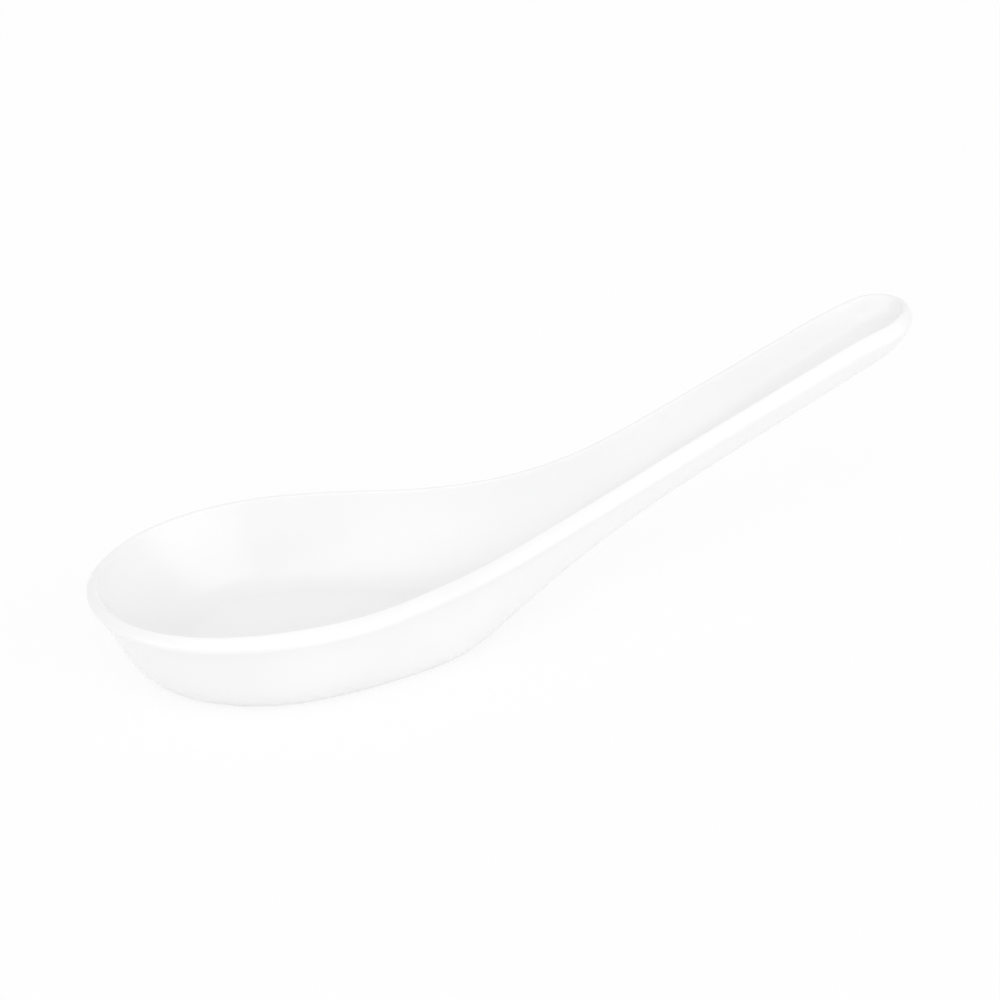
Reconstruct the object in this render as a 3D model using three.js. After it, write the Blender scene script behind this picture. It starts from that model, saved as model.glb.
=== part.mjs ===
// Soup spoon: a deep oval bowl on a flat foot, with a trough handle that climbs out of the bowl.
// One porcelain casting, under a thin fired glaze that leaves the foot bare.
// Millimetres and degrees, +Z up. The origin is the middle of the foot, and the handle runs along +X.

import * as THREE from 'three';
import { mergeVertices } from 'three/addons/utils/BufferGeometryUtils.js';

// Plan outline, from the tip of the bowl to the end of the handle
const TIP_LENGTH = 30.2; // tip of the bowl to its widest place
const SHOULDER_LENGTH = 67.9; // widest place to where the handle's sides run straight
const HANDLE_LENGTH = 37.1; // straight-sided handle, round end included
const BOWL_WIDTH = 45.4; // over the lips, at the widest place
const NECK_WIDTH = 15.3; // over the lips, where the straight sides begin
const END_WIDTH = 14.2; // over the lips, if the straight sides ran on to the very end
const END_ROUND = 7.1; // length of the round end
const TIP_FULLNESS = 2.1; // power of the tip's oval: 2 is an ellipse, more is squarer
const SHOULDER_FULLNESS = 1.82; // power that holds the bowl's width behind its widest place
const SHOULDER_FALL = 3.4; // power that draws the shoulder in to the handle

// Rim, as heights of the lip's crest
const RIM_HEIGHT = 15.4; // table to crest, round the bowl
const TIP_DIP = 1; // how much lower the crest lies at the tip
const RISE_OFFSET = 23.1; // widest place to where the crest starts to climb
const RISE_LENGTH = 35.6; // length over which the climb builds up
const HANDLE_PITCH = 21.8; // climb of the straight handle
const DROOP_LENGTH = 14; // length of the handle's drooping end
const END_DROOP = 1.9; // how far the very end droops

// Lip, an oval outside its crest and a small radius inside
const LIP_REACH = 2.2; // how far the lip reaches out from its crest
const END_LIP_REACH = 1.5; // the same at the tip and at the handle's end
const LIP_DROP = 1.45; // how far its widest place lies below the crest
const LIP_INNER_RADIUS = 0.7;
const LIP_ROLL = 14; // how far the lip rolls under, past the wall's lean

// Outer wall, between the lip and the foot
const SIDE_RUN = 7.2; // how far the foot lies in from the lip at the bowl's widest place
const TIP_RUN = 10.2; // the same at the tip
const HEEL_RUN = 4.2; // the same at the heel
const SIDE_LEAN = 24.5; // lean of the wall from upright, just below the lip
const TIP_LEAN = 40.7; // the same at the tip
const TOE_ANGLE = 15.1; // rise of the wall where it leaves the foot
const WALL_TOP_PULL = 0.32; // pull of the wall's curve below the lip, as a share of its chord
const WALL_FOOT_PULL = 0.31; // the same at the foot

// Underside, from the foot over the heel to the end of the handle
const HEEL_OFFSET = 29; // widest place to the corner of the heel, on the middle line
const HEEL_RADIUS = 15.6; // of the heel's corner, seen from below
const HEEL_ROUND = 3.9; // length of the heel's rounding, before and behind its corner
const UNDERSIDE_WIDTH = 3.7; // flat strip along the handle's underside
const UNDERSIDE_ARCH = 0.7; // how far that strip arches up from a straight line
const END_DEPTH = 6.5; // crest to underside at the round end's centre

// Hollow of the bowl and trough of the handle
const BOWL_FLOOR = 3.3; // thickness of the bowl's floor
const TROUGH_DEPTH = 3.9; // crest to the trough's floor at the round end's centre
const TROUGH_ARCH = 0.7; // how far the trough's floor arches up from a straight line
const HOLLOW_HEEL_OFFSET = 30; // widest place to where the hollow's floor turns up
const HOLLOW_ROUND = 8; // length of that turn's rounding, before and behind its corner
const HOLLOW_RUN = 8.6; // how far the hollow's flat floor lies in from the lip's crest
const TIP_HOLLOW_RUN = 12.5; // the same at the tip
const TROUGH_FLAT = 2; // flat strip along the trough
const END_FLAT = 3; // how far that strip runs on past the round end's centre
const HOLLOW_LEAN = 20.5; // lean of the hollow's wall from upright, just below the lip
const HEEL_HOLLOW_LEAN = 26; // the same at the heel and along the trough
const TIP_HOLLOW_LEAN = 38; // the same at the tip
const END_HOLLOW_LEAN = 18; // the same at the handle's end
const HOLLOW_CORNER = 0.82; // how tightly the wall turns into the hollow's floor: 1 is sharpest
const TIP_CORNER = 0.75; // the same at the tip

// Fired glaze
const GLAZE = 0.3; // thickness

// How the foot's and the trough's edges run over from the bowl to the handle
const EDGE_BLEND = 1.5;

// Facets
const TIP_SECTIONS = 10; // from the tip to the widest place, on each side
const FOOT_SECTIONS = 3; // from the widest place to the heel's line
const HEEL_SECTIONS = 3; // along the heel's line, to the back of the foot
const SIDE_SECTIONS = 11; // from there to the round end
const END_SECTIONS = 5; // round end, on each side
const UNDERSIDE_STEPS = 3; // across the underside
const WALL_STEPS = 5;
const LIP_OUTER_STEPS = 4;
const LIP_INNER_STEPS = 2;
const HOLLOW_STEPS = 6;
const FLOOR_STEPS = 2; // across the hollow's floor
const WELD = 1e-4; // vertices closer than this are one

// Stations along the spoon, measured from the tip
const NECK = TIP_LENGTH + SHOULDER_LENGTH;
const LENGTH = NECK + HANDLE_LENGTH;
const END_CENTRE = LENGTH - END_ROUND;
const RISE = TIP_LENGTH + RISE_OFFSET;
const HEEL = TIP_LENGTH + HEEL_OFFSET;
const HOLLOW_HEEL = TIP_LENGTH + HOLLOW_HEEL_OFFSET;
const FOOT_FRONT = TIP_RUN;
const FOOT_BACK = HEEL - HEEL_ROUND;
const FOOT_MIDDLE = (FOOT_FRONT + FOOT_BACK) / 2;

const radians = THREE.MathUtils.degToRad;
const share = (value, from, to) => THREE.MathUtils.clamp((value - from) / (to - from), 0, 1);
const mix = THREE.MathUtils.lerp;

// Larger of two lengths, with a round corner where they are about equal
function roundMax(a, b, blend) {
  return (a + b + Math.hypot(a - b, blend)) / 2;
}

// Half the width over the lips behind the widest place, before the end is rounded
function sideHalfWidth(station) {
  const fall = share(station, TIP_LENGTH, NECK);
  const bell = Math.pow(1 - Math.pow(fall, SHOULDER_FULLNESS), SHOULDER_FALL);
  const handle = NECK_WIDTH + (END_WIDTH - NECK_WIDTH) * (station - NECK) / HANDLE_LENGTH;
  return mix(handle, BOWL_WIDTH, bell) / 2;
}

// Climb that starts at a corner and is straight after it, with the corner rounded off
function roundedClimb(station, corner, round, slope) {
  const bend = THREE.MathUtils.clamp(station - corner + round, 0, 2 * round);
  return slope * (bend * bend / (4 * round) + Math.max(station - corner - round, 0));
}

// Height of the lip's crest over the table
function crestHeight(station) {
  const corner = RISE + RISE_LENGTH / 2;
  const climb = roundedClimb(station, corner, RISE_LENGTH / 2, Math.tan(radians(HANDLE_PITCH)));
  const dip = TIP_DIP * Math.pow(1 - share(station, 0, TIP_LENGTH), 2);
  const droop = END_DROOP * Math.pow(share(station, LENGTH - DROOP_LENGTH, LENGTH), 2);
  return RIM_HEIGHT + climb - dip - droop;
}

const END_CREST = crestHeight(END_CENTRE);
const UNDERSIDE_SLOPE = (END_CREST - END_DEPTH) / (END_CENTRE - HEEL);
const FLOOR_SLOPE = (END_CREST - TROUGH_DEPTH - BOWL_FLOOR) / (END_CENTRE - HOLLOW_HEEL);

// Arch between a corner and the round end's centre, level at both
function archHeight(station, corner, height) {
  const along = share(station, corner, END_CENTRE);
  return 16 * height * Math.pow(along * (1 - along), 2);
}

// Places beside the middle line climb sooner, so the heel's line bends forward to both sides
function bentStation(station, aside) {
  return station + aside * aside / (2 * HEEL_RADIUS);
}

// Height of the underside: flat at the foot, then over the heel and up the handle
function undersideHeight(station, aside) {
  const climb = roundedClimb(bentStation(station, aside), HEEL, HEEL_ROUND, UNDERSIDE_SLOPE);
  return climb + archHeight(station, HEEL, UNDERSIDE_ARCH);
}

// Height of the hollow's floor: flat in the bowl, then up the handle
function floorHeight(station, aside) {
  const climb = roundedClimb(bentStation(station, aside), HOLLOW_HEEL, HOLLOW_ROUND, FLOOR_SLOPE);
  return BOWL_FLOOR + climb + archHeight(station, HOLLOW_HEEL, TROUGH_ARCH);
}

// How far the flat foot reaches to either side, where the heel's line cuts it
function footReach(station) {
  return Math.sqrt(2 * HEEL_RADIUS * Math.max(FOOT_BACK - station, 0));
}

// Station at which the heel's line has a given reach
function heelStation(reach) {
  return FOOT_BACK - reach * reach / (2 * HEEL_RADIUS);
}

// Points of one side of the plan outline, from the tip to the end
function sideOutline() {
  const points = [];
  for (let step = 0; step < TIP_SECTIONS; step++) {
    const turn = Math.PI / 2 * step / TIP_SECTIONS;
    const ahead = Math.pow(Math.cos(turn), 2 / TIP_FULLNESS);
    const aside = Math.pow(Math.sin(turn), 2 / TIP_FULLNESS);
    points.push(new THREE.Vector2(TIP_LENGTH * (1 - ahead), sideHalfWidth(TIP_LENGTH) * aside));
  }
  const heelReach = sideHalfWidth(FOOT_BACK) - HEEL_RUN;
  for (let step = 0; step < FOOT_SECTIONS; step++) {
    const station = mix(TIP_LENGTH, heelStation(heelReach), step / FOOT_SECTIONS);
    points.push(new THREE.Vector2(station, sideHalfWidth(station)));
  }
  for (let step = 0; step < HEEL_SECTIONS; step++) {
    const station = heelStation(heelReach * (1 - step / HEEL_SECTIONS));
    points.push(new THREE.Vector2(station, sideHalfWidth(station)));
  }
  for (let step = 0; step < SIDE_SECTIONS; step++) {
    const station = mix(FOOT_BACK, END_CENTRE, step / SIDE_SECTIONS);
    points.push(new THREE.Vector2(station, sideHalfWidth(station)));
  }
  for (let step = 0; step < END_SECTIONS; step++) {
    const turn = Math.PI / 2 * step / END_SECTIONS;
    const station = END_CENTRE + END_ROUND * Math.sin(turn);
    points.push(new THREE.Vector2(station, sideHalfWidth(station) * Math.cos(turn)));
  }
  points.push(new THREE.Vector2(LENGTH, 0));
  return points;
}

// Whole outline as a closed loop: out along +Y and back along -Y
function outlineLoop() {
  const side = sideOutline();
  const back = side.slice(1, -1).reverse().map((point) => new THREE.Vector2(point.x, -point.y));
  return [...side, ...back];
}

// Half section that stands on the line from the spine to a point of the outline, as points of
// [reach, height] from the underside's middle line over the lip to the hollow's middle line
function sectionPoints(spine, outward, reach, crest) {
  const ahead = Math.pow(Math.max(-outward.x, 0), 2);
  const rear = Math.max(outward.x, 0);
  const behind = THREE.MathUtils.smoothstep(spine, TIP_LENGTH, HEEL);
  const run = mix(mix(SIDE_RUN, TIP_RUN, ahead), HEEL_RUN, behind);
  const lean = radians(mix(SIDE_LEAN, TIP_LEAN, ahead));
  const hollowRun = mix(HOLLOW_RUN, TIP_HOLLOW_RUN, ahead);
  const sideHollowLean = mix(HOLLOW_LEAN, HEEL_HOLLOW_LEAN, behind);
  const hollowLean = radians(mix(mix(sideHollowLean, TIP_HOLLOW_LEAN, ahead), END_HOLLOW_LEAN, rear * rear));
  const tightness = mix(HOLLOW_CORNER, TIP_CORNER, ahead);
  const toe = radians(TOE_ANGLE) + Math.atan(UNDERSIDE_SLOPE * rear);
  const floorTilt = Math.atan(FLOOR_SLOPE * rear);
  const floorFlat = mix(TROUGH_FLAT / 2, END_FLAT, rear * rear);

  const lipReach = mix(LIP_REACH, END_LIP_REACH, Math.pow(outward.x, 4));
  const crestReach = reach - lipReach;
  const footEdge = roundMax(reach - run, UNDERSIDE_WIDTH / 2, EDGE_BLEND);
  const floorEdge = roundMax(crestReach - hollowRun, floorFlat, EDGE_BLEND);
  const onBase = (height) => (along) => new THREE.Vector2(
    along, height(spine + along * outward.x, along * Math.abs(outward.y)));
  const underside = undersideReaches(spine, footEdge).map(onBase(undersideHeight));
  const floor = floorReaches(floorEdge).map(onBase(floorHeight));

  const underLip = -Math.atan(Math.tan(lean + radians(LIP_ROLL)) * LIP_DROP / lipReach);
  const inLip = Math.PI - hollowLean;
  const lipOuter = new THREE.EllipseCurve(
    crestReach, crest - LIP_DROP, lipReach, LIP_DROP, underLip, Math.PI / 2);
  const lipInner = new THREE.EllipseCurve(
    crestReach, crest - LIP_INNER_RADIUS, LIP_INNER_RADIUS, LIP_INNER_RADIUS, Math.PI / 2, inLip);
  const wall = bow(underside.at(-1), toe, WALL_FOOT_PULL, lipOuter.getPoint(0), lean, WALL_TOP_PULL);
  const hollow = turnUp(floor[0], floorTilt, lipInner.getPoint(1), hollowLean, tightness);
  return [
    ...underside,
    ...wall.getPoints(WALL_STEPS).slice(1),
    ...lipOuter.getPoints(LIP_OUTER_STEPS).slice(1),
    ...lipInner.getPoints(LIP_INNER_STEPS).slice(1),
    ...hollow.getPoints(HOLLOW_STEPS).reverse().slice(1),
    ...floor.slice(1),
  ];
}

// Places across the hollow's floor, from its edge to the middle line
function floorReaches(edge) {
  return Array.from({ length: FLOOR_STEPS + 1 }, (_, step) => edge * (1 - step / FLOOR_STEPS));
}

// Places across the underside. The first step ends on the heel's line where that cuts the foot.
function undersideReaches(spine, edge) {
  const first = THREE.MathUtils.clamp(footReach(spine), edge / UNDERSIDE_STEPS, edge);
  const rest = Array.from(
    { length: UNDERSIDE_STEPS }, (_, step) => mix(first, edge, step / (UNDERSIDE_STEPS - 1)));
  return [0, ...rest];
}

// Curve of a wall, from the base, which it leaves at a rise, to the lip, which it meets at a lean
function bow(base, rise, basePull, top, lean, topPull) {
  const chord = base.distanceTo(top);
  const along = new THREE.Vector2(Math.cos(rise), Math.sin(rise));
  const down = new THREE.Vector2(-Math.sin(lean), -Math.cos(lean));
  const nearBase = base.clone().addScaledVector(along, basePull * chord);
  const nearTop = top.clone().addScaledVector(down, topPull * chord);
  return new THREE.CubicBezierCurve(base, nearBase, nearTop, top);
}

// Curve between two straight lines, drawn towards the corner that they make: one leaves the base at a rise,
// and the other comes down from the top at a lean
function turnUp(base, rise, top, lean, tightness) {
  const along = new THREE.Vector2(Math.cos(rise), Math.sin(rise));
  const down = new THREE.Vector2(-Math.sin(lean), -Math.cos(lean));
  const gap = top.clone().sub(base);
  const turn = along.cross(down);
  const nearBase = base.clone().addScaledVector(along, tightness * gap.cross(down) / turn);
  const nearTop = top.clone().addScaledVector(down, tightness * gap.cross(along) / turn);
  return new THREE.CubicBezierCurve(base, nearBase, nearTop, top);
}

// Outward normal of a half section at one of its rows. The first and last lie on the middle lines.
function sectionNormal(points, row) {
  if (row === 0) return new THREE.Vector2(0, -1);
  if (row === points.length - 1) return new THREE.Vector2(0, 1);
  const along = points[row + 1].clone().sub(points[row - 1]).normalize();
  return new THREE.Vector2(along.y, -along.x);
}

// Finished surface and the clay surface under the glaze, as matching rows of points for each section.
// They are one where the foot is bare, which is where the underside lies on the table.
function surfaces() {
  return outlineLoop().map((edge) => {
    const spine = THREE.MathUtils.clamp(edge.x, TIP_LENGTH, END_CENTRE);
    const outward = new THREE.Vector2(edge.x - spine, edge.y);
    const reach = outward.length();
    outward.normalize();
    const place = (point) => new THREE.Vector3(
      spine + outward.x * point.x - FOOT_MIDDLE, outward.y * point.x, point.y);
    const points = sectionPoints(spine, outward, reach, crestHeight(edge.x));
    return points.map((point, row) => {
      const bare = row <= UNDERSIDE_STEPS && point.y < WELD;
      const clay = point.clone().addScaledVector(sectionNormal(points, row), bare ? 0 : -GLAZE);
      return { finished: place(point), clay: place(clay), bare };
    });
  });
}

// Triangles between neighbouring sections, alike on both sides of the spoon.
// Each is three [section, row] corners, turned so that it faces out.
function facets(sections, rows) {
  const triangles = [];
  for (let section = 0; section < sections; section++) {
    const next = (section + 1) % sections;
    for (let row = 0; row + 1 < rows; row++) {
      const here = [section, row];
      const above = [section, row + 1];
      const beside = [next, row];
      const across = [next, row + 1];
      if (section < sections / 2) triangles.push([here, above, beside], [above, across, beside]);
      else triangles.push([here, above, across], [here, across, beside]);
    }
  }
  return triangles;
}

// Closed geometry from loose triangles: shared corners are welded and empty triangles dropped
function weld(triangles) {
  const loose = new THREE.BufferGeometry().setFromPoints(triangles.flat());
  const welded = mergeVertices(loose, WELD);
  const corners = [];
  for (let at = 0; at < welded.index.count; at += 3) {
    const [a, b, c] = [0, 1, 2].map((step) => welded.index.getX(at + step));
    if (a !== b && b !== c && c !== a) corners.push(a, b, c);
  }
  welded.setIndex(corners);
  welded.computeVertexNormals();
  return welded;
}

const grid = surfaces();
const corner = ([section, row]) => grid[section][row];
const skin = facets(grid.length, grid[0].length).map((triangle) => triangle.map(corner));

// The casting's whole surface is the clay surface
function porcelainBody() {
  const geometry = weld(skin.map((triangle) => triangle.map(({ clay }) => clay)));
  const material = new THREE.MeshStandardMaterial({ color: 0xf1efe9, roughness: 0.85, metalness: 0 });
  const mesh = new THREE.Mesh(geometry, material);
  mesh.name = 'porcelain_body';
  return mesh;
}

// The glaze lies between the finished surface and the clay, and runs out to nothing at the bare foot
function glazeCoat() {
  const coated = skin.filter((triangle) => triangle.some(({ bare }) => !bare));
  const outside = coated.map((triangle) => triangle.map(({ finished }) => finished));
  const inside = coated.map((triangle) => triangle.map(({ clay }) => clay).reverse());
  const geometry = weld([...outside, ...inside]);
  const material = new THREE.MeshStandardMaterial({ color: 0xf8f8f6, roughness: 0.08, metalness: 0 });
  const mesh = new THREE.Mesh(geometry, material);
  mesh.name = 'glaze_coat';
  return mesh;
}

const spoon = new THREE.Group();
spoon.add(porcelainBody(), glazeCoat());

export default spoon;
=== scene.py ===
"""Glazed porcelain soup spoon on a pale studio floor.

Run as a script, it loads the spoon's solids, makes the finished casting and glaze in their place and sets
the stage. All lengths are in metres.
"""

import math

import bmesh
import bpy
from bpy.props import FloatProperty, FloatVectorProperty, PointerProperty
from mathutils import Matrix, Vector
from mathutils.geometry import interpolate_bezier


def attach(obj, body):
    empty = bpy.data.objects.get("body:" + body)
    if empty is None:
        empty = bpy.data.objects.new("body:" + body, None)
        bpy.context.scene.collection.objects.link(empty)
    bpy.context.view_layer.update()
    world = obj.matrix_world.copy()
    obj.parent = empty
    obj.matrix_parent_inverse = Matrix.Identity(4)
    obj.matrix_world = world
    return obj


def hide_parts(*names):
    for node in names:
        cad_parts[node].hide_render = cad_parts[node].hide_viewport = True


bl_info = {
    "name": "Porcelain soup spoon",
    "version": (1, 0, 0),
    "blender": (4, 5, 0),
    "location": "View3D > Sidebar > Spoon",
    "description": "Makes a glazed porcelain soup spoon and the studio that it stands in",
    "category": "Add Mesh",
}

MILLIMETRE = 0.001
QUARTER_TURN = math.pi / 2

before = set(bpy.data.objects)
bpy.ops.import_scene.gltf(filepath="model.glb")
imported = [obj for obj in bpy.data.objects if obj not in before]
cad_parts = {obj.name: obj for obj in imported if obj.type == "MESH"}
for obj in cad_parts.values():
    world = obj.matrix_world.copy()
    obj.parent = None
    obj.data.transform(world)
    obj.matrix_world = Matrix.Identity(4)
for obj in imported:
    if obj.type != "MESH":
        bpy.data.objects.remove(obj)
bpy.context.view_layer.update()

# Steps of the finished sheets, round the spoon and across a half section
TIP_STEPS = 24
FOOT_STEPS = 9
HEEL_STEPS = 5
SIDE_STEPS = 30
END_STEPS = 10
BASE_STEPS = 6
WALL_STEPS = 13
LIP_ROLL_STEPS = 3
LIP_TOP_STEPS = 8
LIP_EDGE_STEPS = 5
HOLLOW_STEPS = 14

# Finishing of the sheets: subdivision, gap that is welded, height that counts as flat, fold at the glaze line
ROUNDING_LEVELS = 1
WELD = 0.001 * MILLIMETRE
FLAT = 0.00001 * MILLIMETRE
GLAZE_LINE_FOLD = math.radians(110)

# Glaze, with its pools and the traces of handling
POOL_SPACING = 22 * MILLIMETRE
POOL_STOPS = ((0.42, 0), (0.68, 1))
HANDLING_SPACING = 9 * MILLIMETRE
HANDLING_ROUGHNESS = 0.03
GLAZE_IOR = 1.52

# Bare clay, with its rubbed patches and its grain
RUB_SPACING = 12 * MILLIMETRE
RUB_STOPS = ((0.5, 0), (0.72, 1))
RUB_SHARE = 0.5
GRAIN_ROUGHNESS = 0.12

# Sockets of a Mix node that mixes colours
MIX_FACTOR = 0
MIX_FIRST = 6
MIX_SECOND = 7
MIX_RESULT = 2

# Camera, from the photographed rim and outline
CAMERA_AIM = Vector((31.7, -3.4, 20.4)) * MILLIMETRE
CAMERA_AZIMUTH = math.radians(-23.83)
CAMERA_ELEVATION = math.radians(27.62)
CAMERA_DISTANCE = 807.3 * MILLIMETRE
CAMERA_LENS = 191.3

# Studio
FLOOR_SIDE = 6.0
FLOOR_GAP = 0.05 * MILLIMETRE
DIRECT_RAYS = ("Is Camera Ray", "Is Glossy Ray", "Is Transmission Ray")
LAMP_DISTANCE = 2.4

# Soft boxes: name, azimuth and elevation in degrees, width, height and power
LAMPS = (
    ("left_soft_box", -72, 24, 2.0, 1.4, 8.5),
    ("key_soft_box", -30, 50, 1.8, 1.6, 6.9),
    ("right_soft_box", 38, 26, 1.9, 1.8, 12.5),
    ("back_soft_box", 160, 16, 2.8, 0.8, 2.5),
)


def length(name, description, millimetres):
    return FloatProperty(
        name=name, description=description, default=millimetres * MILLIMETRE,
        subtype="DISTANCE", unit="LENGTH", min=0, precision=5)


def angle(name, description, degrees):
    return FloatProperty(
        name=name, description=description, default=math.radians(degrees),
        subtype="ANGLE", unit="ROTATION")


def ratio(name, description, default):
    return FloatProperty(name=name, description=description, default=default, min=0)


def factor(name, description, default, most=1):
    return FloatProperty(
        name=name, description=description, default=default, subtype="FACTOR", min=0, max=most)


def tint(name, description, default):
    return FloatVectorProperty(
        name=name, description=description, default=default, subtype="COLOR", size=3, min=0, max=1)


class SpoonShape(bpy.types.PropertyGroup):
    """Sizes of the finished spoon"""

    tip_length: length("Tip", "Tip of the bowl to its widest place", 30.2)
    shoulder_length: length("Shoulder", "Widest place to where the handle's sides run straight", 67.9)
    handle_length: length("Handle", "Straight-sided handle, round end included", 37.3)
    bowl_width: length("Bowl width", "Over the lips, at the widest place", 45.4)
    neck_width: length("Neck width", "Over the lips, where the straight sides begin", 15.3)
    end_width: length("End width", "Over the lips, if the straight sides ran on to the end", 14.2)
    end_round: length("End round", "Length of the handle's round end", 7.1)
    tip_fullness: ratio("Tip fullness", "Power of the tip's oval, where 2 is an ellipse", 2.1)
    shoulder_fullness: ratio("Shoulder fullness", "Power that holds the bowl's width", 1.82)
    shoulder_fall: ratio("Shoulder fall", "Power that draws the shoulder in to the handle", 3.4)

    rim_height: length("Rim height", "Table to the lip's crest, round the bowl", 15.55)
    tip_dip: length("Tip dip", "How much lower the crest lies at the tip", 1)
    rise_offset: length("Rise offset", "Widest place to where the crest starts to climb", 23.1)
    rise_length: length("Rise length", "Length over which the climb builds up", 35.6)
    handle_pitch: angle("Handle pitch", "Climb of the straight handle", 21.8)
    droop_length: length("Droop length", "Length of the handle's drooping end", 14)
    end_droop: length("End droop", "How far the very end droops", 2.2)

    lip_reach: length("Lip reach", "How far the lip reaches out from its crest", 1.7)
    tip_lip_reach: length("Tip lip reach", "The same at the tip", 1.2)
    end_lip_reach: length("End lip reach", "The same at the handle's end", 1)
    lip_drop: length("Lip drop", "How far the lip's widest place lies below its crest", 1.65)
    tip_lip_drop: length("Tip lip drop", "The same at the tip", 1.15)
    lip_edge_radius: length("Lip edge", "Radius of the lip's inner edge", 0.45)
    lip_fall: angle("Lip fall", "Slope of the lip's top, outwards from its crest", 38)
    end_lip_fall: angle("End lip fall", "The same at the handle's end", 45)
    lip_fullness: ratio("Lip fullness", "How far the lip's top swells to its outer corner, up to 1", 0.52)
    lip_roll: angle("Lip roll", "How far the lip rolls under, past the wall's lean", 9)

    side_run: length("Side run", "How far the foot lies in from the lip at the widest place", 7.05)
    tip_run: length("Tip run", "How far the foot lies in from the lip at the tip", 10.2)
    heel_run: length("Heel run", "How far the foot lies in from the lip at the heel", 4.2)
    side_lean: angle("Side lean", "Lean of the wall from upright, just below the lip", 24.5)
    tip_lean: angle("Tip lean", "The same at the tip", 40.7)
    toe_angle: angle("Toe", "Rise of the wall where it leaves the foot", 15.1)
    wall_top_pull: ratio("Wall top pull", "Pull of the wall's curve below the lip", 0.32)
    wall_foot_pull: ratio("Wall foot pull", "Pull of the wall's curve at the foot", 0.31)

    heel_offset: length("Heel offset", "Widest place to the heel's corner, on the middle line", 29)
    heel_radius: length("Heel radius", "Radius of the heel's corner, seen from below", 15.6)
    heel_round: length("Heel round", "Rounding of the heel, before and behind its corner", 3.9)
    underside_width: length("Underside width", "Flat strip along the handle's underside", 3.7)
    underside_arch: length("Underside arch", "How far that strip arches up", 0.7)
    end_depth: length("End depth", "Crest to underside at the round end's centre", 6.75)
    edge_blend: length("Edge blend", "How softly the bowl's flat base runs over into the handle's strip", 1.5)

    bowl_floor: length("Bowl floor", "Thickness of the bowl's floor", 3.3)
    trough_depth: length("Trough depth", "Crest to the trough's floor at the round end's centre", 3.9)
    hollow_heel_offset: length("Hollow heel", "Widest place to where the hollow's floor turns up", 31)
    hollow_round: length("Hollow round", "Rounding of that turn, before and behind it", 8)
    hollow_run: length("Hollow run", "How far the hollow's flat floor lies in from the crest", 8.6)
    tip_hollow_run: length("Tip hollow run", "The same at the tip", 12.5)
    heel_hollow_run: length("Heel hollow run", "The same at the heel", 11.5)
    trough_arch: length("Trough arch", "How far the trough's floor arches up", 0.7)
    trough_flat: length("Trough flat", "Flat strip along the trough", 2)
    end_flat: length("End flat", "How far that strip runs on past the round end's centre", 3)
    hollow_lean: angle("Hollow lean", "Lean of the hollow's wall, just below the lip", 20.5)
    heel_hollow_lean: angle("Heel hollow lean", "The same at the heel and along the trough", 22)
    tip_hollow_lean: angle("Tip hollow lean", "The same at the tip", 38)
    end_hollow_lean: angle("End hollow lean", "The same at the handle's end", 18)
    hollow_corner: ratio("Hollow corner", "How tightly the wall turns into the hollow's floor, up to 1", 0.82)
    tip_corner: ratio("Tip corner", "The same at the tip", 0.75)
    heel_corner: ratio("Heel corner", "The same from the heel to the neck", 0.45)
    glaze_thickness: length("Glaze", "Thickness of the fired glaze", 0.3)

    def neck(self):
        return self.tip_length + self.shoulder_length

    def full_length(self):
        return self.neck() + self.handle_length

    def end_centre(self):
        return self.full_length() - self.end_round

    def heel(self):
        return self.tip_length + self.heel_offset

    def foot_back(self):
        return self.heel() - self.heel_round

    def foot_middle(self):
        return (self.tip_run + self.foot_back()) / 2

    def half_width(self, station):
        """Half the width over the lips behind the widest place, before the end is rounded."""
        fall = share(station, self.tip_length, self.neck())
        bell = (1 - fall ** self.shoulder_fullness) ** self.shoulder_fall
        past_neck = (station - self.neck()) / self.handle_length
        return mix(mix(self.neck_width, self.end_width, past_neck), self.bowl_width, bell) / 2

    def crest_height(self, station):
        """Height of the lip's crest over the table."""
        half = self.rise_length / 2
        corner = self.tip_length + self.rise_offset + half
        climb = rounded_climb(station - corner, half, math.tan(self.handle_pitch))
        dip = self.tip_dip * (1 - share(station, 0, self.tip_length)) ** 2
        droop_start = self.full_length() - self.droop_length
        droop = self.end_droop * share(station, droop_start, self.full_length()) ** 2
        return self.rim_height + climb - dip - droop

    def arch(self, station, corner, height):
        """Height of an arch between a corner and the round end's centre, level at both."""
        along = share(station, corner, self.end_centre())
        return height * (4 * along * (1 - along)) ** 2

    def underside_slope(self):
        rise = self.crest_height(self.end_centre()) - self.end_depth
        return rise / (self.end_centre() - self.heel())

    def underside_height(self, station, aside):
        """Height of the underside: flat at the foot, then over the heel and up the handle."""
        past_heel = station + aside ** 2 / (2 * self.heel_radius) - self.heel()
        climb = rounded_climb(past_heel, self.heel_round, self.underside_slope())
        return climb + self.arch(station, self.heel(), self.underside_arch)

    def hollow_heel(self):
        return self.tip_length + self.hollow_heel_offset

    def floor_slope(self):
        rise = self.crest_height(self.end_centre()) - self.trough_depth - self.bowl_floor
        return rise / (self.end_centre() - self.hollow_heel())

    def floor_height(self, station, aside):
        """Height of the hollow's floor: flat in the bowl, then up the handle."""
        past_heel = station + aside ** 2 / (2 * self.heel_radius) - self.hollow_heel()
        climb = rounded_climb(past_heel, self.hollow_round, self.floor_slope())
        return self.bowl_floor + climb + self.arch(station, self.hollow_heel(), self.trough_arch)

    def foot_reach(self, station):
        """How far the flat foot reaches to either side, where the heel's line cuts it."""
        return math.sqrt(2 * self.heel_radius * max(self.foot_back() - station, 0))

    def heel_station(self, reach):
        """Station at which the heel's line has a given reach."""
        return self.foot_back() - reach ** 2 / (2 * self.heel_radius)


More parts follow.
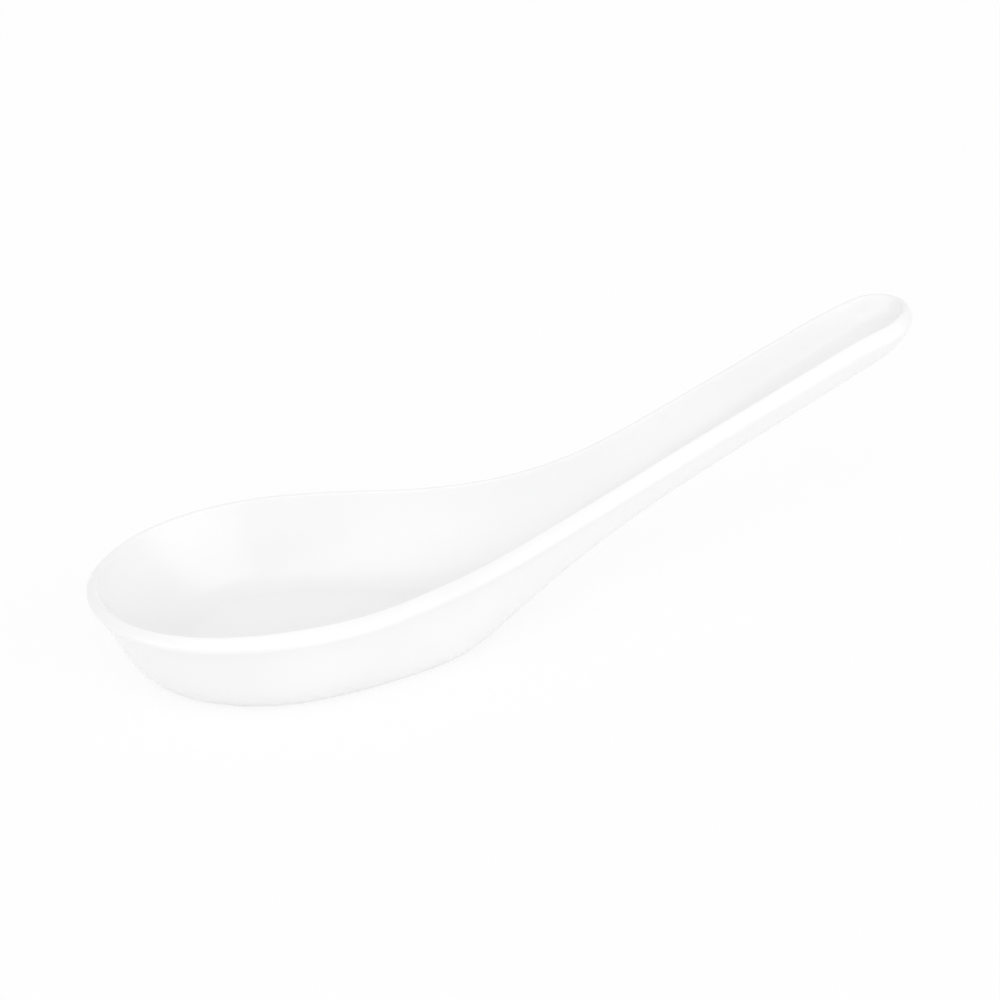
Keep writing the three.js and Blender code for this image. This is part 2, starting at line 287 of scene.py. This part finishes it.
class SpoonGlaze(bpy.types.PropertyGroup):
    """Colour and surface of the fired glaze"""

    colour: tint(
        "Glaze colour", "White of the glaze where it lies at its usual thickness", (0.925, 0.925, 0.924))
    pooled_colour: tint(
        "Pooled colour", "Cooler white where the glaze has run together", (0.911, 0.912, 0.912))
    roughness: factor("Roughness", "Roughness of the cleanest glaze", 0.22)
    ripple_size: length("Ripple size", "Distance between the soft waves that the glaze dried with", 5)
    ripple_height: length("Ripple height", "Height of those waves", 0.012)


class SpoonClay(bpy.types.PropertyGroup):
    """Colour and grain of the bare porcelain"""

    colour: tint("Clay colour", "Warm white of the fired clay", (0.84, 0.82, 0.775))
    worn_colour: tint(
        "Worn colour", "Greyer white where the foot has rubbed on tables", (0.7, 0.685, 0.655))
    roughness: factor("Roughness", "Roughness of the clay between its grains", 0.82)
    grain_size: length("Grain size", "Distance between the grains", 0.35)
    grain_height: length("Grain height", "Height of the grains", 0.02)


class SpoonStage(bpy.types.PropertyGroup):
    """Floor and lights round the spoon"""

    floor_colour: tint("Floor colour", "Colour of the floor", (0.97, 0.97, 0.97))
    floor_white: factor(
        "Floor white", "Share of the floor that shows as plain white, the rest keeps the shadow", 0.87)
    surround: factor("Surround", "Brightness of the white walls round the stage, where 1 is white", 0.932)
    lamp_level: factor("Lamp level", "Share of the lamps' power", 1, most=2)


class Shade:
    """A socket of a node tree. Arithmetic on it adds Math nodes."""

    def __init__(self, tree, socket=None):
        self.tree = tree
        self.socket = socket

    def node(self, kind, settings, sockets, output=0):
        """Adds a node: first its settings, then the values or links of its sockets."""
        made = self.tree.nodes.new("ShaderNode" + kind)
        for name, value in settings.items():
            if name == "stops":
                place_stops(made.color_ramp, value)
            else:
                setattr(made, name, value)
        for name, value in sockets.items():
            if isinstance(value, Shade):
                self.tree.links.new(value.socket, made.inputs[name])
            else:
                made.inputs[name].default_value = value
        return Shade(self.tree, made.outputs[output] if made.outputs else None)

    def maths(self, operation, first, second):
        return self.node("Math", {"operation": operation}, {0: first, 1: second})

    def __add__(self, other):
        return self.maths("ADD", self, other)

    def __radd__(self, other):
        return self.maths("ADD", other, self)

    def __sub__(self, other):
        return self.maths("SUBTRACT", self, other)

    def __rsub__(self, other):
        return self.maths("SUBTRACT", other, self)

    def __mul__(self, other):
        return self.maths("MULTIPLY", self, other)

    def __rmul__(self, other):
        return self.maths("MULTIPLY", other, self)


def place_stops(ramp, stops):
    """Gives a colour ramp its stops, as pairs of place and grey value."""
    while len(ramp.elements) < len(stops):
        ramp.elements.new(1)
    for element, (place, grey) in zip(ramp.elements, stops):
        element.position = place
        element.color = (grey, grey, grey, 1)


def opaque(colour):
    return (*colour, 1)


def new_material(name):
    """A node material that is still empty, and a start for its expressions."""
    material = bpy.data.materials.new(name)
    material.use_nodes = True
    material.node_tree.nodes.clear()
    return material, Shade(material.node_tree)


def noise(shade, spacing, detail):
    """Noise whose features lie a given distance apart."""
    place = shade.node("TexCoord", {}, {}, "Object")
    return shade.node("TexNoise", {}, {"Vector": place, "Scale": 1 / spacing, "Detail": detail}, "Fac")


def patches(shade, noise_value, stops):
    """Patches where the noise runs high, from 0 beside them to 1 in their middle."""
    return shade.node("ValToRGB", {"stops": stops}, {"Fac": noise_value})


def mixed_colour(shade, part, first, second):
    sockets = {MIX_FACTOR: part, MIX_FIRST: opaque(first), MIX_SECOND: opaque(second)}
    return shade.node("Mix", {"data_type": "RGBA"}, sockets, MIX_RESULT)


def relief(shade, height, distance):
    return shade.node("Bump", {}, {"Height": height, "Distance": distance, "Strength": 1})


def glaze_material(look):
    material, shade = new_material("fired_glaze")
    pools = patches(shade, noise(shade, POOL_SPACING, detail=2), POOL_STOPS)
    handling = noise(shade, HANDLING_SPACING, detail=4)
    ripples = noise(shade, look.ripple_size, detail=1)
    surface = shade.node("BsdfPrincipled", {}, {
        "Base Color": mixed_colour(shade, pools, look.colour, look.pooled_colour),
        "Roughness": look.roughness + HANDLING_ROUGHNESS * handling,
        "Normal": relief(shade, ripples, look.ripple_height),
        "IOR": GLAZE_IOR})
    shade.node("OutputMaterial", {}, {"Surface": surface})
    return material


def clay_material(look):
    material, shade = new_material("bare_porcelain")
    rubbed = patches(shade, noise(shade, RUB_SPACING, detail=6), RUB_STOPS)
    grain = noise(shade, look.grain_size, detail=3)
    surface = shade.node("BsdfPrincipled", {}, {
        "Base Color": mixed_colour(shade, rubbed * RUB_SHARE, look.colour, look.worn_colour),
        "Roughness": look.roughness + GRAIN_ROUGHNESS * grain,
        "Normal": relief(shade, grain, look.grain_height)})
    shade.node("OutputMaterial", {}, {"Surface": surface})
    return material


def share(value, start, end):
    return min(max((value - start) / (end - start), 0), 1)


def ease(value, start, end):
    """Share that leaves its start and reaches its end gently."""
    part = share(value, start, end)
    return part ** 2 * (3 - 2 * part)


def mix(first, second, part):
    return first + (second - first) * part


def evenly(start, end, steps):
    return [mix(start, end, step / steps) for step in range(steps + 1)]


def round_max(first, second, blend):
    """Larger of two lengths, with a round corner where they are about equal."""
    return (first + second + math.hypot(first - second, blend)) / 2


def rounded_climb(past_corner, rounding, slope):
    """Climb that is straight after a corner, with the corner rounded off."""
    bend = min(max(past_corner + rounding, 0), 2 * rounding)
    return slope * (bend ** 2 / (4 * rounding) + max(past_corner - rounding, 0))


def side_outline(shape):
    """Plan outline of one side, from the tip to the end, as pairs of station and half width."""
    points = []
    for turn in evenly(0, QUARTER_TURN, TIP_STEPS)[:-1]:
        ahead = math.cos(turn) ** (2 / shape.tip_fullness)
        aside = math.sin(turn) ** (2 / shape.tip_fullness)
        points.append((shape.tip_length * (1 - ahead), shape.bowl_width / 2 * aside))
    heel_reach = shape.half_width(shape.foot_back()) - shape.heel_run
    heel_reaches = evenly(heel_reach, heel_reach / BASE_STEPS, HEEL_STEPS)
    heel_stations = [shape.heel_station(reach) for reach in heel_reaches]
    stations = evenly(shape.tip_length, heel_stations[0], FOOT_STEPS)[:-1] + heel_stations
    stations += evenly(heel_stations[-1], shape.end_centre(), SIDE_STEPS)[1:-1]
    points += [(station, shape.half_width(station)) for station in stations]
    for turn in evenly(0, QUARTER_TURN, END_STEPS)[:-1]:
        station = shape.end_centre() + shape.end_round * math.sin(turn)
        points.append((station, shape.half_width(station) * math.cos(turn)))
    return points + [(shape.full_length(), 0)]


def outline(shape):
    """Whole plan outline as a closed loop: out along +Y and back along -Y."""
    side = side_outline(shape)
    return side + [(station, -aside) for station, aside in side[-2:0:-1]]


def base_line(height, spine, outward, reaches):
    """Points of reach and height on the underside or the hollow's floor, whose height is given."""
    places = [(reach, spine + reach * outward.x, reach * abs(outward.y)) for reach in reaches]
    return [Vector((reach, height(station, aside))) for reach, station, aside in places]


def arc(centre, radii, start, end, steps):
    """Part of an oval round a centre."""
    turns = evenly(start, end, steps)
    return [centre + radii * Vector((math.cos(turn), math.sin(turn))) for turn in turns]


def bow(base, rise, base_pull, top, lean, top_pull, steps):
    """Curve of a wall, from the base, which it leaves at a rise, to the lip, which it meets at a lean."""
    chord = (top - base).length
    near_base = base + base_pull * chord * Vector((math.cos(rise), math.sin(rise)))
    near_top = top - top_pull * chord * Vector((math.sin(lean), math.cos(lean)))
    return interpolate_bezier(base, near_base, near_top, top, steps + 1)


def turn_up(base, rise, top, lean, tightness, steps):
    """Curve between two straight lines, drawn towards the corner that they make: one leaves the base at a
    rise, and the other comes down from the top at a lean."""
    along = Vector((math.cos(rise), math.sin(rise)))
    down = Vector((-math.sin(lean), -math.cos(lean)))
    gap = top - base
    turn = along.cross(down)
    near_base = base + along * tightness * gap.cross(down) / turn
    near_top = top + down * tightness * gap.cross(along) / turn
    return interpolate_bezier(base, near_base, near_top, top, steps + 1)


def half_section(shape, spine, outward, reach, crest):
    """Half section on the line from the spine to a point of the outline, as points of reach and height
    from the underside's middle line over the lip to the hollow's middle line."""
    # How far the section faces the tip or the end, and how far it lies behind the bowl
    ahead = max(-outward.x, 0) ** 2
    at_tip = ahead ** 2
    rear = max(outward.x, 0)
    at_end = rear ** 4
    behind = ease(spine, shape.tip_length, shape.heel())
    at_heel = behind * (1 - ease(spine, shape.neck(), shape.end_centre()))

    # Sizes of the wall, the hollow and the lip in this section
    run = mix(mix(shape.side_run, shape.tip_run, ahead), shape.heel_run, behind)
    lean = mix(shape.side_lean, shape.tip_lean, ahead)
    end_tilt = math.atan(shape.underside_slope() * rear)
    hollow_run = mix(mix(shape.hollow_run, shape.tip_hollow_run, ahead), shape.heel_hollow_run, behind)
    side_hollow_lean = mix(shape.hollow_lean, shape.heel_hollow_lean, behind)
    hollow_lean = mix(mix(side_hollow_lean, shape.tip_hollow_lean, ahead), shape.end_hollow_lean, rear ** 2)
    tightness = mix(mix(shape.hollow_corner, shape.tip_corner, ahead), shape.heel_corner, at_heel)
    floor_tilt = math.atan(shape.floor_slope() * rear)
    floor_flat = mix(shape.trough_flat / 2, shape.end_flat, rear ** 2)
    side_lip_reach = mix(shape.lip_reach, shape.tip_lip_reach, at_tip)
    lip_reach = mix(side_lip_reach, shape.end_lip_reach, at_end)
    lip_drop = mix(shape.lip_drop, shape.tip_lip_drop, at_tip)
    lip_fall = mix(shape.lip_fall, shape.end_lip_fall, at_end)
    crest_reach = reach - lip_reach

    # Underside and floor, the underside with a point on the heel's line
    foot_edge = round_max(reach - run, shape.underside_width / 2, shape.edge_blend)
    heel_line = min(max(shape.foot_reach(spine), foot_edge / BASE_STEPS), foot_edge)
    foot_reaches = [0] + evenly(heel_line, foot_edge, BASE_STEPS - 1)
    underside = base_line(shape.underside_height, spine, outward, foot_reaches)
    floor_edge = round_max(crest_reach - hollow_run, floor_flat, shape.edge_blend)
    floor = base_line(shape.floor_height, spine, outward, evenly(floor_edge, 0, BASE_STEPS))

    # Lip, and the walls that run up to it outside and inside
    lip = Vector((lip_reach, lip_drop))
    edge = Vector((shape.lip_edge_radius, shape.lip_edge_radius))
    under_lip = -math.atan(math.tan(lean + shape.lip_roll) * lip.y / lip.x)
    lip_roll = arc(Vector((crest_reach, crest - lip.y)), lip, under_lip, 0, LIP_ROLL_STEPS)
    lip_edge = arc(
        Vector((crest_reach, crest - edge.y)), edge,
        QUARTER_TURN - lip_fall, math.pi - hollow_lean, LIP_EDGE_STEPS)
    lip_top = turn_up(
        lip_roll[-1], QUARTER_TURN, lip_edge[0], lip_fall - QUARTER_TURN, shape.lip_fullness, LIP_TOP_STEPS)
    wall = bow(
        underside[-1], shape.toe_angle + end_tilt, shape.wall_foot_pull,
        lip_roll[0], lean, shape.wall_top_pull, WALL_STEPS)
    hollow = turn_up(floor[0], floor_tilt, lip_edge[-1], hollow_lean, tightness, HOLLOW_STEPS)
    return underside + wall[1:] + lip_roll[1:] + lip_top[1:] + lip_edge[1:] + hollow[-2::-1] + floor[1:]


def section_normals(points):
    """Outward normals along a half section, whose ends lie on the middle lines."""
    along = [after - before for before, after in zip(points, points[2:])]
    inner = [Vector((step.y, -step.x)).normalized() for step in along]
    return [Vector((0, -1))] + inner + [Vector((0, 1))]


def skin(shape, depth):
    """Columns of points over the whole spoon, one for each section, at a depth below the finished surface.
    The bare foot has no depth."""
    columns = []
    for station, aside in outline(shape):
        spine = min(max(station, shape.tip_length), shape.end_centre())
        across = Vector((station - spine, aside))
        outward = across.normalized()
        points = half_section(shape, spine, outward, across.length, shape.crest_height(station))
        column = []
        for number, (point, normal) in enumerate(zip(points, section_normals(points))):
            bare = number <= BASE_STEPS and point.y < FLAT
            sunk = point if bare else point - depth * normal
            plan = Vector((spine - shape.foot_middle(), 0)) + outward * sunk.x
            column.append(Vector((plan.x, plan.y, sunk.y)))
        columns.append(column)
    return columns


def add_sheet(name, columns):
    """A grid of quads that is wrapped round the spoon, with its seams still open."""
    rows = len(columns[0]) - 1
    bpy.ops.object.select_all(action="DESELECT")
    bpy.ops.mesh.primitive_grid_add(x_subdivisions=len(columns), y_subdivisions=rows, size=1)
    piece = bpy.context.object
    piece.name = name
    piece.data.name = name
    # The grid comes one metre square, round the origin
    for vertex in piece.data.vertices:
        column = round((vertex.co.x + 0.5) * len(columns)) % len(columns)
        row = round((vertex.co.y + 0.5) * rows)
        vertex.co = columns[column][row]
    return piece


def select_foot(piece):
    """Opens a piece in edit mode with only the faces of its flat foot selected."""
    bpy.ops.object.mode_set(mode="EDIT")
    bpy.ops.mesh.select_mode(type="FACE")
    bpy.ops.mesh.select_all(action="DESELECT")
    mesh = bmesh.from_edit_mesh(piece.data)
    for face in mesh.faces:
        face.select_set(all(vertex.co.z < FLAT for vertex in face.verts))
    mesh.select_flush_mode()
    bmesh.update_edit_mesh(piece.data)


def close_seams():
    """Welds the seams and poles of the piece in edit mode, and turns its faces outwards."""
    bpy.ops.mesh.select_all(action="SELECT")
    bpy.ops.mesh.remove_doubles(threshold=WELD)
    bpy.ops.mesh.dissolve_degenerate(threshold=WELD)
    bpy.ops.mesh.normals_make_consistent(inside=False)
    bpy.ops.mesh.select_all(action="DESELECT")


def fold_edges():
    """Keeps the selected edges of the piece in edit mode sharp, in shape and in shading."""
    bpy.ops.transform.edge_crease(value=1)
    bpy.ops.mesh.mark_sharp()


def round_off(piece):
    """Leaves edit mode, and smooths the piece apart from its folds."""
    bpy.ops.object.mode_set(mode="OBJECT")
    rounding = piece.modifiers.new("Rounding", "SUBSURF")
    rounding.levels = ROUNDING_LEVELS
    rounding.render_levels = ROUNDING_LEVELS
    bpy.ops.object.modifier_apply(modifier=rounding.name)
    bpy.ops.object.shade_smooth()


class SPOON_OT_add_clay(bpy.types.Operator):
    """Make the porcelain casting, which shows only at the bare foot"""

    bl_idname = "spoon.add_clay"
    bl_label = "Add porcelain body"

    def execute(self, context):
        shape = context.scene.spoon_shape
        piece = add_sheet("porcelain_casting", skin(shape, shape.glaze_thickness))
        bpy.ops.object.mode_set(mode="EDIT")
        close_seams()
        select_foot(piece)
        bpy.ops.mesh.region_to_loop()
        fold_edges()
        round_off(piece)
        piece.data.materials.append(clay_material(context.scene.spoon_clay))
        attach(piece, "root")
        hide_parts("porcelain_body")
        return {"FINISHED"}


class SPOON_OT_add_glaze(bpy.types.Operator):
    """Make the glaze over the casting"""

    bl_idname = "spoon.add_glaze"
    bl_label = "Add glaze"

    def execute(self, context):
        shape = context.scene.spoon_shape
        inside = add_sheet("glaze_inside", skin(shape, shape.glaze_thickness))
        piece = add_sheet("fired_glaze", skin(shape, 0))
        inside.select_set(True)
        bpy.ops.object.join()
        select_foot(piece)
        bpy.ops.mesh.delete(type="FACE")
        close_seams()
        bpy.ops.mesh.select_mode(type="EDGE")
        bpy.ops.mesh.edges_select_sharp(sharpness=GLAZE_LINE_FOLD)
        fold_edges()
        round_off(piece)
        piece.data.materials.append(glaze_material(context.scene.spoon_glaze))
        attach(piece, "root")
        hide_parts("glaze_coat")
        return {"FINISHED"}


def towards(azimuth, elevation):
    """Direction from the spoon to something that stands round it, as for a camera."""
    return Vector((
        math.sin(azimuth) * math.cos(elevation),
        -math.cos(azimuth) * math.cos(elevation),
        math.sin(elevation)))


def add_lamp(name, azimuth, elevation, width, height, power):
    direction = towards(math.radians(azimuth), math.radians(elevation))
    bpy.ops.object.light_add(type="AREA", location=CAMERA_AIM + direction * LAMP_DISTANCE)
    lamp = bpy.context.object
    lamp.name = name
    lamp.rotation_euler = direction.to_track_quat("Z", "Y").to_euler()
    lamp.data.shape = "RECTANGLE"
    lamp.data.size = width
    lamp.data.size_y = height
    lamp.data.energy = power
    lamp.visible_camera = False


def seen_directly(shade):
    """1 for what the camera sees, straight or in gloss or glass, and 0 for what only lights the spoon."""
    camera, gloss, glass = (shade.node("LightPath", {}, {}, ray) for ray in DIRECT_RAYS)
    return shade.maths("MINIMUM", camera + gloss + glass, 1)


def floor_material(stage):
    material, shade = new_material("pale_floor")
    paper = shade.node("BsdfDiffuse", {}, {"Color": opaque(stage.floor_colour)})
    white = shade.node("Emission", {}, {"Strength": 1})
    white_share = stage.floor_white * seen_directly(shade)
    surface = shade.node("MixShader", {}, {0: white_share, 1: paper, 2: white})
    shade.node("OutputMaterial", {}, {"Surface": surface})
    return material


def set_world(scene, surround):
    """Makes white walls that light the spoon a little less than they show."""
    world = bpy.data.worlds.new("white_walls")
    world.use_nodes = True
    world.node_tree.nodes.clear()
    shade = Shade(world.node_tree)
    seen = seen_directly(shade)
    strength = seen + (1 - seen) * surround
    background = shade.node("Background", {}, {"Strength": strength})
    shade.node("OutputWorld", {}, {"Surface": background})
    scene.world = world


class SPOON_OT_set_stage(bpy.types.Operator):
    """Set the floor, the soft boxes, the white surround and the camera"""

    bl_idname = "spoon.set_stage"
    bl_label = "Set stage"

    def execute(self, context):
        scene = context.scene
        stage = scene.spoon_stage
        bpy.ops.object.select_all(action="DESELECT")
        bpy.ops.mesh.primitive_plane_add(size=FLOOR_SIDE, location=(0, 0, -FLOOR_GAP))
        floor = context.object
        floor.name = "pale_floor"
        floor.data.materials.append(floor_material(stage))
        set_world(scene, stage.surround)
        for name, azimuth, elevation, width, height, power in LAMPS:
            add_lamp(name, azimuth, elevation, width, height, power * stage.lamp_level)

        place = CAMERA_AIM + towards(CAMERA_AZIMUTH, CAMERA_ELEVATION) * CAMERA_DISTANCE
        turn = (QUARTER_TURN - CAMERA_ELEVATION, 0, CAMERA_AZIMUTH)
        bpy.ops.object.camera_add(location=place, rotation=turn)
        scene.camera = context.object
        scene.camera.name = "photo_camera"
        scene.camera.data.lens = CAMERA_LENS
        scene.view_settings.view_transform = "Standard"
        return {"FINISHED"}


class SPOON_PT_panel(bpy.types.Panel):
    """Lists each step with its settings"""

    bl_idname = "SPOON_PT_panel"
    bl_label = "Porcelain soup spoon"
    bl_space_type = "VIEW_3D"
    bl_region_type = "UI"
    bl_category = "Spoon"

    def draw(self, context):
        for operator, settings in STEPS:
            box = self.layout.box()
            box.operator(operator.bl_idname)
            for group in (getattr(context.scene, name) for name in settings):
                for name in group.__annotations__:
                    box.prop(group, name)


STEPS = (
    (SPOON_OT_add_clay, ("spoon_shape", "spoon_clay")),
    (SPOON_OT_add_glaze, ("spoon_glaze",)),
    (SPOON_OT_set_stage, ("spoon_stage",)),
)
SETTINGS = {
    "spoon_shape": SpoonShape,
    "spoon_clay": SpoonClay,
    "spoon_glaze": SpoonGlaze,
    "spoon_stage": SpoonStage,
}


def register():
    for name, group in SETTINGS.items():
        bpy.utils.register_class(group)
        setattr(bpy.types.Scene, name, PointerProperty(type=group))
    for operator, _ in STEPS:
        bpy.utils.register_class(operator)
    bpy.utils.register_class(SPOON_PT_panel)


def unregister():
    bpy.utils.unregister_class(SPOON_PT_panel)
    for operator, _ in reversed(STEPS):
        bpy.utils.unregister_class(operator)
    for name, group in SETTINGS.items():
        delattr(bpy.types.Scene, name)
        bpy.utils.unregister_class(group)


def main():
    register()
    bpy.ops.spoon.add_clay()
    bpy.ops.spoon.add_glaze()
    bpy.ops.spoon.set_stage()


if __name__ == "__main__":
    main()
